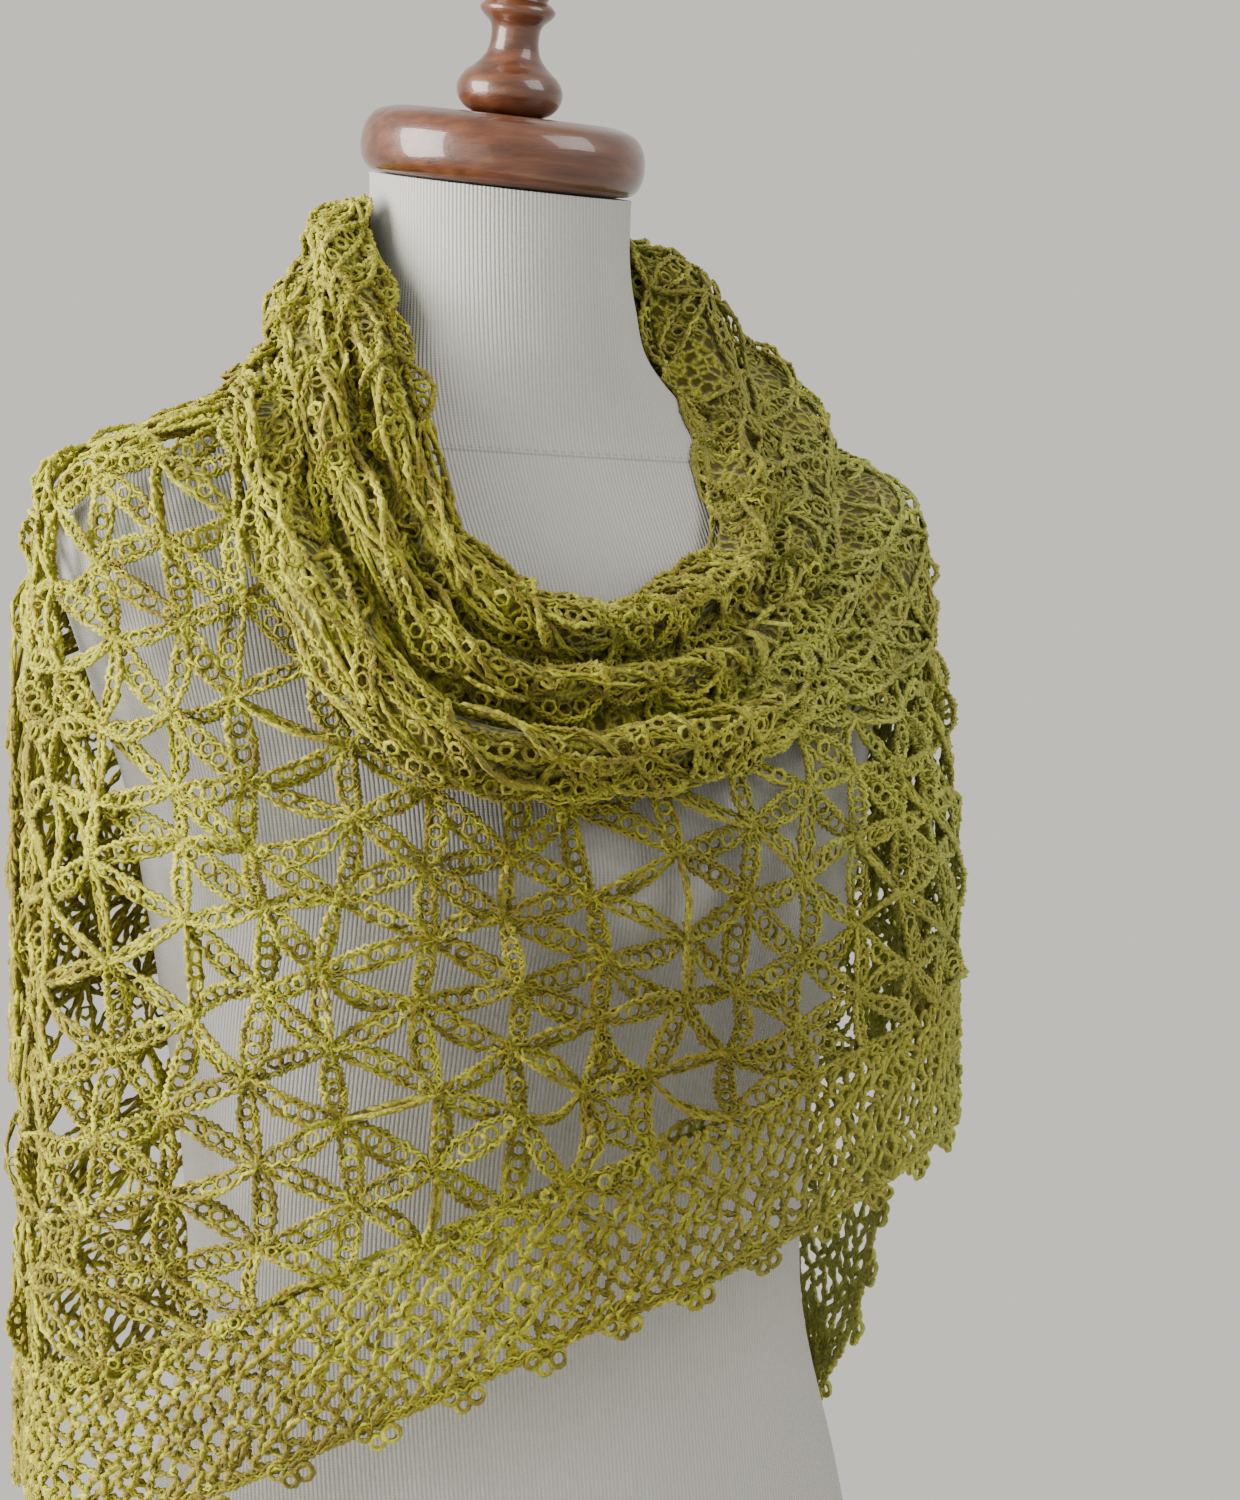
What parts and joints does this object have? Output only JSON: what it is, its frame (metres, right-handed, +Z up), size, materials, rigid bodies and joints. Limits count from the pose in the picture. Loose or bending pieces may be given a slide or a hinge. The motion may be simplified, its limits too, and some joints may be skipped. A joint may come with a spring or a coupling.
{
  "type": "crochet shawl on a limbless dress form",
  "caption": "Crocheted lace shawl in a leaf-petal flower net, wrapped as a draped cowl and cape round a jersey-covered limbless dress form with a turned wooden neck cap.",
  "frame": {"origin": "centre of the form's flat underside, on the neck's axis", "axes": "+Z up, the form faces -Y, +X to the wearer's left"},
  "size_m": [0.4292, 0.3021, 0.825],
  "materials": {
    "yarn": "fuzzy two-ply crochet yarn, variegated gold-green",
    "jersey": "fine ribbed jersey",
    "wood": "clear gloss varnish"
  },
  "bodies": {
    "root": {"form_torso": "jersey", "form_neck_cap": "wood", "form_finial": "wood", "shawl_front": "yarn", "shawl_back": "yarn", "shawl_cowl": "yarn", "shawl_neck_roll": "yarn", "shawl_thrown_end": "yarn", "shawl_hanging_end": "yarn"}
  },
  "joints": []
}
